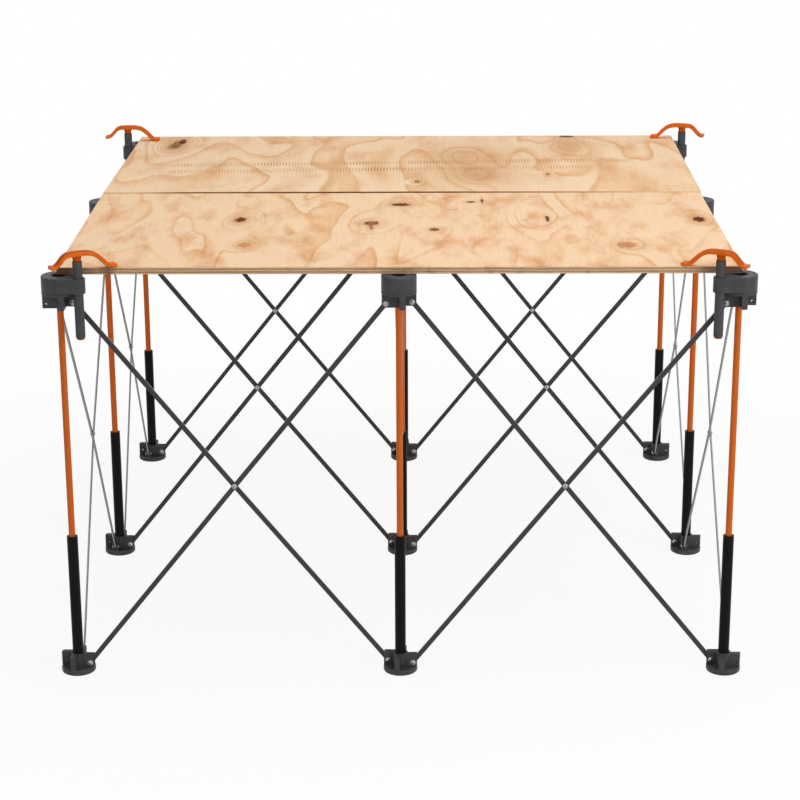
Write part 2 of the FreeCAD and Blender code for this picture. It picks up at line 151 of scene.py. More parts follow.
# %% [markdown]
# ## Powder coat on the tubes, bars and bows
# Powder melts into a skin with a gentle orange peel, about two millimetres from hill to hill and a
# few hundredths high. It is a plastic film, so it is not metallic: a coloured base under a satin top.
# Sliding leaves faint rub marks along the tubes, so there the colour and gloss vary in long thin
# streaks, and on the bars and bows in soft patches. The narrow edges of the bars are coloured much
# paler than their flats, a painted highlight. The top of the bows is coloured darker and made a
# little rougher, and so are their necks and rods: the darker colour is painted shade.

# %% Powder coats
PEEL = 2.2 * MM
PEEL_DEPTH = 0.03 * MM
RUB_STREAK = (1.2 * MM, 1.2 * MM, 70 * MM)
RUB_PATCH = (16 * MM, 16 * MM, 16 * MM)
RUB_GLOSS = (-0.05, 0.07)


def powder_coat(name, dark, pale, roughness, gloss_level, rub_size):
    material, tree, place = blank_material(name)
    stretch = add(tree, MAPPING, {"Vector": place, "Scale": tuple(1 / size for size in rub_size)})
    rub = add(tree, NOISE, {"Vector": stretch, "Scale": 1.0, "Detail": 2.0})
    peel = add(tree, NOISE, {"Vector": place, "Scale": 1 / PEEL, "Detail": 1.0})
    colour = add(tree, RAMP, {"Fac": rub}, stops=[(0.25, dark), (0.75, pale)])
    span = {"To Min": roughness + RUB_GLOSS[0], "To Max": roughness + RUB_GLOSS[1]}
    gloss = add(tree, RANGE, {"Value": rub, **span})
    bump = add(tree, BUMP, {"Height": peel, "Strength": 0.6, "Distance": PEEL_DEPTH})
    look = {"Base Color": colour, "Roughness": gloss, "Specular IOR Level": gloss_level}
    add(tree, OUTPUT, {"Surface": add(tree, SURFACE, {**look, "Normal": bump})})
    return material


orange_tube = powder_coat("powder_coat_orange", "#c45808", "#d26411", 0.38, 0.2, RUB_STREAK)
black_tube = powder_coat("powder_coat_black", "#110f0e", "#181614", 0.4, 0.07, RUB_STREAK)
bar_steel = powder_coat("powder_coat_gunmetal", "#353537", "#3d3d3f", 0.42, 0.25, RUB_PATCH)
# The much paler coat on the narrow bar edges is a painted highlight.
lit_bar_edge = powder_coat("powder_coat_gunmetal_painted_highlight", "#9c9d9f", "#acadaf", 0.4, 0.3, RUB_PATCH)
bow_enamel = powder_coat("stoved_enamel_orange", "#d65e0c", "#e87018", 0.36, 0.08, RUB_PATCH)
# The darker, slightly rougher copy of the bow enamel is painted shade on the bow tops and necks.
bow_painted_shade = powder_coat("stoved_enamel_orange_painted_shade", "#ac4a06", "#bb560a", 0.44, 0.05, RUB_PATCH)
print(orange_tube.name, black_tube.name, bar_steel.name, lit_bar_edge.name)
print(bow_enamel.name, bow_painted_shade.name)

# %% [markdown]
# ## Zinc plate on the rivets
# Rivets are headed cold and then plated with bright zinc. Zinc is a metal, so its colour sits in the
# reflection, and the fine spangle of the plating breaks the highlight up a little. Real crystals are
# under a tenth of a millimetre; they are drawn several times coarser so that they show.

# %% Zinc plate
SPANGLE = 0.8 * MM
SPANGLE_GLOSS = (0.16, 0.3)


def zinc_plate():
    material, tree, place = blank_material("zinc_plated_steel")
    spangle = add(tree, CELLS, {"Vector": place, "Scale": 1 / SPANGLE})
    span = {"To Min": SPANGLE_GLOSS[0], "To Max": SPANGLE_GLOSS[1]}
    gloss = add(tree, RANGE, {"Value": spangle, **span})
    look = {"Base Color": linear("#9a9c9f"), "Metallic": 1.0, "Roughness": gloss}
    add(tree, OUTPUT, {"Surface": add(tree, SURFACE, look)})
    return material


zinc = zinc_plate()
print(zinc.name)

# %% [markdown]
# ## Pine plywood, the face
# The face veneer is peeled from a log on a lathe, so the knife runs nearly along the growth rings and
# cuts them into wandering bands, with loops round each knot. A height map does the same: a slow noise
# stands for the log's waviness, each knot adds a small hill, and the contour lines of the sum become
# bands of pale early wood that end in a darker line of late wood. The panels were cut across a long
# sheet, so their grain runs from front to back, and all of this is drawn out in that direction. The
# two panels come from different places in the log, so the rear one reads the noise some way off, and
# its late wood is broader.

# %% Places of the knots
# Each knot: x and y of its middle, half its width and length, reach of its rings in metres, then its
# colour and how strongly it covers the wood.
KNOTS = [
    (-0.308, -0.229, 0.011, 0.019, 0.060, "#66260c", 0.95),
    (-0.055, -0.262, 0.014, 0.018, 0.055, "#66280c", 0.95),
    (-0.055, -0.290, 0.004, 0.024, 0.020, "#96582c", 0.7),
    (-0.001, -0.100, 0.018, 0.013, 0.045, "#60240c", 0.95),
    (0.065, -0.314, 0.009, 0.012, 0.035, "#7a3c18", 0.9),
    (0.139, -0.077, 0.009, 0.007, 0.030, "#6e3014", 0.9),
    (0.162, -0.067, 0.003, 0.018, 0.020, "#6e3014", 0.85),
    (0.283, -0.226, 0.004, 0.025, 0.075, "#6a280c", 0.9),
    (0.574, -0.232, 0.012, 0.022, 0.045, "#5c200c", 0.95),
    (0.416, -0.440, 0.018, 0.024, 0.035, "#c87448", 0.7),
    (-0.286, -0.433, 0.012, 0.020, 0.035, "#cf8350", 0.7),
    (-0.516, 0.494, 0.0105, 0.034, 0.040, "#8a5a40", 0.75),
    (-0.508, 0.518, 0.0120, 0.044, 0.050, "#643824", 0.9),
    (-0.498, 0.551, 0.0085, 0.030, 0.050, "#522c1a", 0.92),
    (0.365, 0.498, 0.022, 0.060, 0.050, "#c8926a", 0.45),
    (0.156, 0.172, 0.045, 0.060, 0.070, "#b98f70", 0.42),
    (0.137, 0.367, 0.055, 0.070, 0.070, "#c79a76", 0.35),
    (0.032, 0.109, 0.006, 0.014, 0.020, "#8a6244", 0.75),
    (0.307, 0.181, 0.004, 0.010, 0.015, "#7a5236", 0.75),
    (0.374, 0.606, 0.016, 0.012, 0.030, "#4a3226", 0.85),
]
print("knots", len(KNOTS))

# %% Bands of the veneer
# The seam is the y at which the panels meet. The log is shifted by some metres for the rear panel.
# A knot's hill is so many contours high, and falls to this share at the reach of its rings. Here and
# there the bands fade to plain wood, less so on the rear panel.
SEAM = 0.0093
LOG_SHIFT = 3.3
WAVE_WIDTH = 0.17
WAVE_STRETCH = 0.28
CONTOURS = 6.5
KNOT_CONTOURS = 2.2
KNOT_FALL = 0.12
KNOT_STRETCH = 0.5
PLAIN_PATCH = 0.13
PLAIN_SPAN = (0.4, 0.62)
PLAIN_FRONT = 0.9
PLAIN_REAR = 0.4
PLAIN_WOOD = "#ffdcb6"
NARROW = [(0.0, "#ffdfbb"), (0.7, "#ffdcb6"), (0.86, "#f8cd9f"), (0.95, "#ebb684"), (1.0, "#fedbb4")]
BROAD = [(0.0, "#ffe3c2"), (0.5, "#ffe0bd"), (0.72, "#f9d2a8"), (0.93, "#ecbb8e"), (1.0, "#ffe0bd")]


def veneer_bands(tree, place):
    """Colour of the clear wood, the mask of the rear panel, and the place in the log."""
    depth = add(tree, SPLIT, {0: place}).outputs["Y"]
    rear = add(tree, MATH, {0: depth, 1: SEAM}, operation="GREATER_THAN")
    elsewhere = add(tree, MATH, {0: rear, 1: LOG_SHIFT}, operation="MULTIPLY")
    offset = add(tree, JOIN, {"X": elsewhere, "Y": elsewhere})
    log = add(tree, VECTOR, {0: place, 1: offset}, operation="ADD")
    along = add(tree, MAPPING, {"Vector": log, "Scale": (1.0, WAVE_STRETCH, 0.0)})
    lathe = {"Vector": along, "Scale": 1 / WAVE_WIDTH, "Detail": 1.6, "Roughness": 0.5}
    wave = add(tree, NOISE, {**lathe, "Distortion": 0.4})
    height = add(tree, MATH, {0: wave, 1: CONTOURS}, operation="MULTIPLY")
    for x, y, _, _, reach, _, _ in KNOTS:
        scale = (1 / reach, KNOT_STRETCH / reach, 0.0)
        shift = (-x * scale[0], -y * scale[1], 0.0)
        near = add(tree, MAPPING, {"Vector": place, "Location": shift, "Scale": scale})
        far = add(tree, VECTOR, {0: near, 1: near}, operation="DOT_PRODUCT").outputs["Value"]
        hill = add(tree, MATH, {0: KNOT_FALL, 1: far}, operation="POWER")
        height = add(tree, MATH, {0: hill, 1: KNOT_CONTOURS, 2: height}, operation="MULTIPLY_ADD")
    ring = add(tree, MATH, {0: height}, operation="FRACT")
    front_bands = add(tree, RAMP, {"Fac": ring}, stops=NARROW)
    rear_bands = add(tree, RAMP, {"Fac": ring}, stops=BROAD)
    bands = add(tree, MIX, {"Factor": rear, "A": front_bands, "B": rear_bands}, data_type="RGBA")
    patches = add(tree, NOISE, {"Vector": along, "Scale": 1 / PLAIN_PATCH, "Detail": 2.0})
    span = {"Value": patches, "From Min": PLAIN_SPAN[0], "From Max": PLAIN_SPAN[1]}
    drop = PLAIN_REAR - PLAIN_FRONT
    most = add(tree, MATH, {0: rear, 1: drop, 2: PLAIN_FRONT}, operation="MULTIPLY_ADD")
    fade = add(tree, RANGE, {**span, "To Min": 0.0, "To Max": most})
    clear = add(tree, MIX, {"Factor": fade, "A": bands, "B": linear(PLAIN_WOOD)}, data_type="RGBA")
    return clear, rear, log


print("bands ready")

# %% [markdown]
# Over the bands go the fibres, streaks along the grain, tan blotches of resin, a few pin holes, and
# then the knots with their ragged edges. Real fibres show as lines about a millimetre apart; they are
# drawn at more than twice that, or they would blur away at this distance. The rear panel also has
# two rows of pressed ticks from the feed rollers of the lathe, slightly out of square. They repeat
# every few millimetres, so a saw-tooth of the length draws them, and a slow noise fades some out. Raw
# sanded pine has hardly any gloss, so the knots stay brown even at a low angle.

# %% Fibres, blotches and pin holes
FIBRE_WIDTH = 2.6 * MM
FIBRE_LENGTH = 110 * MM
FIBRE_SHARE = 0.26
BLOTCH = 65 * MM
BLOTCH_STRETCH = 0.4
BLOTCH_FRONT = 0.85
BLOTCH_REAR = 0.55
# A pin hole's radius is a share of the pitch, and most cells have none.
PIN_PITCH = 48 * MM
PIN_RADIUS = 0.045
PIN_SKIP = 0.62
PIN_COVER = 0.55


def fibres_over(tree, rear, log, colour):
    """Streak, blotch and prick the wood; also give the fibres for the bump."""
    comb = (1 / FIBRE_WIDTH, 1 / FIBRE_LENGTH, 0.0)
    fibre_map = add(tree, MAPPING, {"Vector": log, "Scale": comb})
    fibre = add(tree, NOISE, {"Vector": fibre_map, "Scale": 1.0, "Detail": 3.0})
    shade = add(tree, RAMP, {"Fac": fibre}, stops=[(0.3, "#ead2b6"), (0.62, "#ffffff")])
    wood = {"Factor": FIBRE_SHARE, "A": colour, "B": shade}
    streaked = add(tree, MIX, wood, data_type="RGBA", blend_type="MULTIPLY")
    lengthwise = add(tree, MAPPING, {"Vector": log, "Scale": (1.0, BLOTCH_STRETCH, 0.0)})
    patchy = {"Vector": lengthwise, "Scale": 1 / BLOTCH, "Detail": 4.0, "Roughness": 0.6}
    patches = add(tree, NOISE, patchy)
    resin = add(tree, RAMP, {"Fac": patches}, stops=[(0.48, "#ffffff"), (0.72, "#e4c09e")])
    drop = BLOTCH_REAR - BLOTCH_FRONT
    amount = add(tree, MATH, {0: rear, 1: drop, 2: BLOTCH_FRONT}, operation="MULTIPLY_ADD")
    blotched = {"Factor": amount, "A": streaked, "B": resin}
    wood = add(tree, MIX, blotched, data_type="RGBA", blend_type="MULTIPLY")
    cells = add(tree, CELLS, {"Vector": log, "Scale": 1 / PIN_PITCH})
    prick = add(tree, MATH, {0: cells.outputs["Distance"], 1: PIN_RADIUS}, operation="LESS_THAN")
    choice = add(tree, "ShaderNodeSeparateColor", {0: cells.outputs["Color"]}).outputs["Red"]
    some = add(tree, MATH, {0: choice, 1: PIN_SKIP}, operation="GREATER_THAN")
    pins = add(tree, MATH, {0: prick, 1: some}, operation="MULTIPLY")
    dark = add(tree, MATH, {0: pins, 1: PIN_COVER}, operation="MULTIPLY")
    pricked = add(tree, MIX, {"Factor": dark, "A": wood, "B": linear("#80563a")}, data_type="RGBA")
    return pricked, fibre


print("fibre", FIBRE_WIDTH / MM, "mm")

# %% Knots and roller marks
# A knot's edge is where its distance plus the ragged noise reaches this sum; faint ones blur more.
KNOT_EDGE = 2.05
SHARP_EDGE = 0.35
SOFT_EDGE = 1.7
FAINT_COVER = 0.5
RAGGED_GRAIN = 6 * MM
RAGGED_AMOUNT = 1.8
HALO_SPAN = (1.7, 4.2)
HALO_COVER = 0.45
# The rows of ticks: y at the middle, and x of either end.
TICK_PITCH = 6.6 * MM
TICK_SHARE = 0.42
TICK_FADE = 0.11
TICK_WORN = (0.3, 0.7)
TICK_COVER = 0.7
TICK_LENGTH = 18 * MM
TICK_ROWS = ((0.309, -0.52, 0.50), (0.239, -0.52, 0.40))
TICK_SKEW = 0.05


def knots_over(tree, place, colour):
    """Lay each knot over the wood with a ragged edge; also give the mask of all of them."""
    ragged = add(tree, NOISE, {"Vector": place, "Scale": 1 / RAGGED_GRAIN, "Detail": 4.0})
    masks = []
    for x, y, half_width, half_length, _, shade, cover in KNOTS:
        scale = (1 / half_width, 1 / half_length, 0.0)
        shift = (-x / half_width, -y / half_length, 0.0)
        near = add(tree, MAPPING, {"Vector": place, "Location": shift, "Scale": scale})
        far = add(tree, VECTOR, {0: near}, operation="LENGTH").outputs["Value"]
        edge = add(tree, MATH, {0: ragged, 1: RAGGED_AMOUNT, 2: far}, operation="MULTIPLY_ADD")
        blur = SHARP_EDGE if cover > FAINT_COVER else SOFT_EDGE
        past = KNOT_EDGE + (blur - SHARP_EDGE) / 2
        inner = {"Value": edge, "From Min": KNOT_EDGE - blur, "From Max": past}
        outer = {"Value": edge, "From Min": HALO_SPAN[0], "From Max": HALO_SPAN[1]}
        core = add(tree, RANGE, {**inner, "To Min": cover, "To Max": 0.0})
        halo = add(tree, RANGE, {**outer, "To Min": HALO_COVER, "To Max": 0.0})
        colour = add(tree, MIX, {"Factor": halo, "A": colour, "B": linear("#dba26c")}, data_type="RGBA")
        colour = add(tree, MIX, {"Factor": core, "A": colour, "B": linear(shade)}, data_type="RGBA")
        masks.append(core)
    every = masks[0]
    for mask in masks[1:]:
        every = add(tree, MATH, {0: every, 1: mask}, operation="MAXIMUM")
    return colour, every


def roller_ticks(tree, place):
    """Mask of the two rows of pressed ticks."""
    split = add(tree, SPLIT, {0: place}).outputs
    phase = add(tree, MATH, {0: split["X"], 1: TICK_PITCH}, operation="DIVIDE")
    part = add(tree, MATH, {0: phase}, operation="FRACT")
    tooth = add(tree, MATH, {0: part, 1: TICK_SHARE}, operation="LESS_THAN")
    worn = add(tree, NOISE, {"Vector": place, "Scale": 1 / TICK_FADE, "Detail": 2.0})
    span = {"Value": worn, "From Min": TICK_WORN[0], "From Max": TICK_WORN[1]}
    strength = add(tree, RANGE, {**span, "To Max": TICK_COVER})
    square = add(tree, MATH, {0: split["X"], 1: -TICK_SKEW, 2: split["Y"]}, operation="MULTIPLY_ADD")
    rows = []
    for middle, left, right in TICK_ROWS:
        centre = (left + right) / 2
        half = (right - left) / 2
        lengthwise = add(tree, MATH, {0: split["X"], 1: centre, 2: half}, operation="COMPARE")
        crosswise = add(tree, MATH, {0: square, 1: middle, 2: TICK_LENGTH}, operation="COMPARE")
        rows.append(add(tree, MATH, {0: lengthwise, 1: crosswise}, operation="MULTIPLY"))
    both = add(tree, MATH, {0: rows[0], 1: rows[1]}, operation="MAXIMUM")
    drawn = add(tree, MATH, {0: both, 1: tooth}, operation="MULTIPLY")
    return add(tree, MATH, {0: drawn, 1: strength}, operation="MULTIPLY")


print("knots and ticks ready")

# %% The face material
FACE_RELIEF = 0.25 * MM


def plywood_face_material():
    material, tree, place = blank_material("pine_plywood_face")
    clear, rear, log = veneer_bands(tree, place)
    wood, fibre = fibres_over(tree, rear, log, clear)
    # The rear panel is multiplied by a faint tint, partly its own wood and partly painted shade where
    # less light reaches it.
    rear_tone = {"Factor": rear, "A": wood, "B": linear("#fffefc")}
    tone = add(tree, MIX, rear_tone, data_type="RGBA", blend_type="MULTIPLY")
    knotted, cores = knots_over(tree, place, tone)
    ticks = roller_ticks(tree, place)
    marked = add(tree, MIX, {"Factor": ticks, "A": knotted, "B": linear("#a9764c")}, data_type="RGBA")
    sunk = add(tree, MATH, {0: cores, 1: ticks}, operation="ADD")
    relief = add(tree, MATH, {0: fibre, 1: sunk}, operation="SUBTRACT")
    bump = add(tree, BUMP, {"Height": relief, "Strength": 0.3, "Distance": FACE_RELIEF})
    look = {"Base Color": marked, "Roughness": 0.75, "IOR": 1.45, "Specular IOR Level": 0.04}
    add(tree, OUTPUT, {"Surface": add(tree, SURFACE, {**look, "Normal": bump})})
    return material


plywood_face = plywood_face_material()
print(plywood_face.name, "nodes", len(plywood_face.node_tree.nodes))

# %% [markdown]
# ## Pine plywood, the edge
# A sawn edge shows the plies: five layers of about two and a half millimetres whose grain turns a
# quarter at each glue line. Plies cut along the grain are pale and streaky, plies cut across it are
# darker end grain, and a thin dark glue line parts them. The layers wander a little, as the veneers
# were never quite flat. At the seam the edges are painted brown, most of all in the middle, as
# painted shade where the rear panel rides up. Near the two front corners, where the clamp bows
# stand, the front edge is painted dark as their shadow.

# %% The edge material
PLIES = 5
PLY_WAVE = 90 * MM
PLY_LIFT = 0.35
GLUE_SHARE = 0.16
# Streaks are 38 mm long and a millimetre high, given here as so many to the metre.
STREAKS = (26.0, 26.0, 900.0)
EDGE_RELIEF = 0.3 * MM
SOIL_PATCH = 38 * MM
SOIL_SPAN = (0.58, 0.74)
SOIL_COVER = 0.7
# The edge near the two front corners is painted darker as the shadow of the clamp bows, and the edges at
# the seam are painted dark brown as shade.
CORNER_SHADE_SPAN = (520 * MM, 585 * MM)
CORNER_SHADE_COVER = 0.75
SEAM_SHADE_REACH = 5 * MM
panel_low, panel_high = [Vector(corner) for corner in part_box("plywood_panels")]
ply = (panel_high.z - panel_low.z) / PLIES


def plywood_edge_material():
    material, tree, place = blank_material("pine_plywood_edge")
    split = add(tree, SPLIT, {0: place}).outputs
    wander = add(tree, NOISE, {"Vector": place, "Scale": 1 / PLY_WAVE, "Detail": 2.0})
    lift = add(tree, RANGE, {"Value": wander, "To Min": -PLY_LIFT, "To Max": PLY_LIFT})
    above = add(tree, MATH, {0: split["Z"], 1: panel_low.z}, operation="SUBTRACT")
    layer = add(tree, MATH, {0: above, 1: 1 / ply, 2: lift}, operation="MULTIPLY_ADD")
    within = add(tree, MATH, {0: layer}, operation="FRACT")
    pair = add(tree, MATH, {0: layer, 1: 2.0}, operation="FLOORED_MODULO")
    odd = add(tree, MATH, {0: pair, 1: 1.0}, operation="LESS_THAN")
    glue = add(tree, MATH, {0: within, 1: GLUE_SHARE}, operation="LESS_THAN")
    streaks = add(tree, MAPPING, {"Vector": place, "Scale": STREAKS})
    grain = add(tree, NOISE, {"Vector": streaks, "Scale": 1.0, "Detail": 3.0})
    pale = add(tree, RAMP, {"Fac": grain}, stops=[(0.3, "#cfa67b"), (0.7, "#e6c59e")])
    deep = add(tree, RAMP, {"Fac": grain}, stops=[(0.3, "#9c7756"), (0.7, "#bd9974")])
    plies = add(tree, MIX, {"Factor": odd, "A": deep, "B": pale}, data_type="RGBA")
    lined = add(tree, MIX, {"Factor": glue, "A": plies, "B": linear("#74523b")}, data_type="RGBA")
    stain = add(tree, NOISE, {"Vector": place, "Scale": 1 / SOIL_PATCH, "Detail": 3.0})
    span = {"Value": stain, "From Min": SOIL_SPAN[0], "From Max": SOIL_SPAN[1]}
    soiled = add(tree, RANGE, {**span, "To Max": SOIL_COVER})
    dirty = add(tree, MIX, {"Factor": soiled, "A": lined, "B": linear("#5a3f30")}, data_type="RGBA")
    # Painted shadow of the clamp bows on the front edge near the corners.
    out = add(tree, MATH, {0: split["X"]}, operation="ABSOLUTE")
    span = {"Value": out, "From Min": CORNER_SHADE_SPAN[0], "From Max": CORNER_SHADE_SPAN[1]}
    near_corner = add(tree, RANGE, {**span, "To Max": CORNER_SHADE_COVER})
    in_front = add(tree, MATH, {0: split["Y"], 1: -CORNER_SHADE_SPAN[1]}, operation="LESS_THAN")
    corner_shade = add(tree, MATH, {0: near_corner, 1: in_front}, operation="MULTIPLY")
    corner_shaded = add(tree, MIX, {"Factor": corner_shade, "A": dirty, "B": linear("#4c2c1c")}, data_type="RGBA")
    # Painted shade on the edges at the seam, darkest in the middle.
    at_seam = add(tree, MATH, {0: split["Y"], 1: SEAM, 2: SEAM_SHADE_REACH}, operation="COMPARE")
    across = {"Value": split["X"], "From Min": panel_low.x, "From Max": panel_high.x}
    left_end = [(0.05, "#e6c298"), (0.14, "#94633f"), (0.3, "#6b4129")]
    right_end = [(0.58, "#754a2f"), (0.72, "#b88a63"), (0.9, "#e6c298")]
    seam_shade = add(tree, RAMP, {"Fac": add(tree, RANGE, across)}, stops=left_end + right_end)
    seam_shaded = add(tree, MIX, {"Factor": at_seam, "A": corner_shaded, "B": seam_shade}, data_type="RGBA")
    bump = add(tree, BUMP, {"Height": grain, "Strength": 0.4, "Distance": EDGE_RELIEF})
    look = {"Base Color": seam_shaded, "Roughness": 0.75, "IOR": 1.45, "Specular IOR Level": 0.3}
    add(tree, OUTPUT, {"Surface": add(tree, SURFACE, {**look, "Normal": bump})})
    return material


plywood_edge = plywood_edge_material()
print(plywood_edge.name, "ply", round(ply / MM, 2), "mm")

# %% [markdown]
# ## Sawn panels
# The CAD panels are plain slabs. A sawn edge is never quite straight and its corners are knocked off,
# so each panel is drawn again as a ring of short steps that wander by a few tenths of a millimetre,
# stacked in four levels with small chamfers. The rear panel is a little warped and rides up at the
# seam, so from the front its bruised edge shows there, painted dark brown as its shade, as a dark
# line. It is also cut out of square, so its back edge lies further right than its front edge. Top and
# bottom take the face veneer, and the rest shows the plies.

# %% Build the panels
EDGE_STEP = 12 * MM
EDGE_WANDER = 0.35 * MM
EDGE_CHAMFER = 0.7 * MM
BRUISE = 1.6 * MM
BRUISE_STEP = 0.3
BRUISE_LEAST = 0.25
SEAM_RIDE = 2.4 * MM
SEAM_HALF_GAP = 0.3 * MM
FRONT_SIDES = (-606.0 * MM, 606.0 * MM)
REAR_SIDES = (-605.0 * MM, 607.5 * MM)
REAR_SKEW = 6.0 * MM
SAW_SEED = 11


def sawn_ring(x0, x1, y0, y1, skew, chance):
    """Corner-to-corner points round a panel, each pulled in by a little."""
    ring = []
    corners = [Vector((x0, y0)), Vector((x1, y0)), Vector((x1 + skew, y1)), Vector((x0 + skew, y1))]
    for start, end in zip(corners, corners[1:] + corners[:1]):
        along = (end - start).normalized()
        inward = Vector((-along.y, along.x))
        steps = round((end - start).length / EDGE_STEP)
        for step in range(steps):
            depth = chance.uniform(0, EDGE_WANDER) if step else 0.0
            ring.append(start + (end - start) * (step / steps) + inward * depth)
    return ring


def add_panel(mesh, sides, y0, y1, chance, bruise=EDGE_CHAMFER, ride=0.0, skew=0.0):
    """A panel in four levels; its front edge is bruised and rides up by so much at most."""
    ring = sawn_ring(*sides, y0, y1, skew, chance)
    middle = Vector((sum(sides) / 2, (y0 + y1) / 2))
    dents = []
    dent = bruise / 2
    for point in ring:
        dent += chance.uniform(-BRUISE_STEP, BRUISE_STEP) * bruise
        dent = min(max(dent, BRUISE_LEAST * bruise), bruise)
        dents.append(max(dent, EDGE_CHAMFER) if point.y < y0 + EDGE_STEP / 2 else EDGE_CHAMFER)
    levels = []
    for low, flat in ((True, True), (True, False), (False, False), (False, True)):
        level = []
        for point, depth in zip(ring, dents):
            cut = EDGE_CHAMFER if low else depth
            z = panel_low.z if low else panel_high.z
            pull = cut if flat else 0.0
            if not flat:
                z += cut if low else -cut
            x = point.x - math.copysign(pull, point.x - middle.x)
            y = point.y - math.copysign(pull, point.y - middle.y)
            z += ride * (y1 - y) / (y1 - y0)
            level.append(mesh.verts.new((x, y, z)))
        levels.append(level)
    for lower, upper in zip(levels, levels[1:]):
        for i in range(len(ring)):
            k = (i + 1) % len(ring)
            mesh.faces.new((lower[i], lower[k], upper[k], upper[i])).material_index = 1
    mesh.faces.new(levels[-1])
    mesh.faces.new(list(reversed(levels[0])))


def finished(name, mesh, materials, body, smooth=True):
    """Turn a bmesh into a piece that rides on a body."""
    bmesh.ops.recalc_face_normals(mesh, faces=mesh.faces)
    data = bpy.data.meshes.new(name)
    mesh.to_mesh(data)
    mesh.free()
    for material in materials:
        data.materials.append(material)
    data.polygons.foreach_set("use_smooth", [smooth] * len(data.polygons))
    piece = bpy.data.objects.new(name, data)
    scene.collection.objects.link(piece)
    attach(piece, body)
    return piece


saw = random.Random(SAW_SEED)
boards = bmesh.new()
add_panel(boards, FRONT_SIDES, panel_low.y, SEAM - SEAM_HALF_GAP, saw)
add_panel(boards, REAR_SIDES, SEAM + SEAM_HALF_GAP, panel_high.y, saw, BRUISE, SEAM_RIDE, REAR_SKEW)
panels = finished("sawn_panels", boards, [plywood_face, plywood_edge], "top", smooth=False)
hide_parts("plywood_panels")
print("panels", len(panels.data.vertices), "vertices")

# %% [markdown]
# ## Clamp bows
# Each hold-down ends in a cast bow: a flat-topped band that bridges the edge of the panel, with a
# broad, slightly forked foot at either end and a shallow groove down both flanks. A loft suits it: a
# list of stations gives the middle of the band, its half width and half thickness, and how deep the
# fork is there. A smooth curve runs through the stations, and a ring of points is set square to it at
# each step. The faces on top take a darker, slightly rougher copy of the enamel: painted shade.

# %% Stations of the bow
# x along the bow from the stem's axis, height above the panel, half width, half thickness, fork, mm
BOW_STATIONS = [
    (-50.0, 10.2, 10.8, 3.6, 2.4),
    (-45.6, 10.2, 10.4, 3.6, 0.8),
    (-41.4, 10.8, 9.6, 3.6, 0.0),
    (-37.3, 13.3, 9.0, 3.5, 0.0),
    (-32.9, 17.7, 8.8, 3.5, 0.0),
    (-27.9, 23.4, 8.8, 3.6, 0.0),
    (-23.0, 27.8, 8.8, 3.9, 0.0),
    (-16.9, 30.3, 8.8, 4.2, 0.0),
    (-8.0, 31.1, 8.8, 4.3, 0.0),
    (4.0, 31.2, 8.8, 4.3, 0.0),
    (16.0, 30.9, 8.8, 4.3, 0.0),
    (24.8, 29.5, 8.8, 4.2, 0.0),
    (32.7, 26.3, 8.8, 4.1, 0.0),
    (39.7, 21.4, 8.8, 4.0, 0.0),
    (46.0, 15.5, 8.8, 4.0, 0.0),
    (51.2, 9.9, 8.8, 3.9, 0.0),
    (55.1, 6.3, 9.0, 3.8, 0.0),
    (59.4, 4.6, 9.4, 3.7, 0.0),
    (64.6, 4.3, 10.2, 3.6, 0.8),
    (71.0, 4.3, 10.8, 3.6, 2.4),
]
STEPS_PER_STATION = 5
RING_POINTS = 32
SQUARENESS = 4.0
# The groove is so many mm deep, spans a share of the thickness, and runs out as the foot widens.
FLANK_GROOVE = 1.3
GROOVE_HEIGHT = 0.4
GROOVE_END = 9.5
GROOVE_FADE = 0.5
# Faces with painted shade: the steps round a ring that make its top, and how far along the bow, mm
SHADED_TOP_STEPS = range(4, 12)
SHADED_TOP_SPAN = (-42, 57)


def smooth_stations(stations, steps):
    """Catmull-Rom curve through the stations."""
    padded = [stations[0]] + stations + [stations[-1]]
    result = []
    for before, start, end, after in zip(padded, padded[1:], padded[2:], padded[3:]):
        for step in range(steps):
            t = step / steps
            row = []
            for p0, p1, p2, p3 in zip(before, start, end, after):
                bend = 2 * p0 - 5 * p1 + 4 * p2 - p3
                twist = 3 * p1 - p0 - 3 * p2 + p3
                row.append(p1 + 0.5 * t * (p2 - p0 + t * (bend + t * twist)))
            result.append(row)
    result.append(list(stations[-1]))
    return result


def superellipse(angle):
    c = math.cos(angle)
    s = math.sin(angle)
    power = 2 / SQUARENESS
    return math.copysign(abs(c) ** power, c), math.copysign(abs(s) ** power, s)


print("stations", len(BOW_STATIONS))


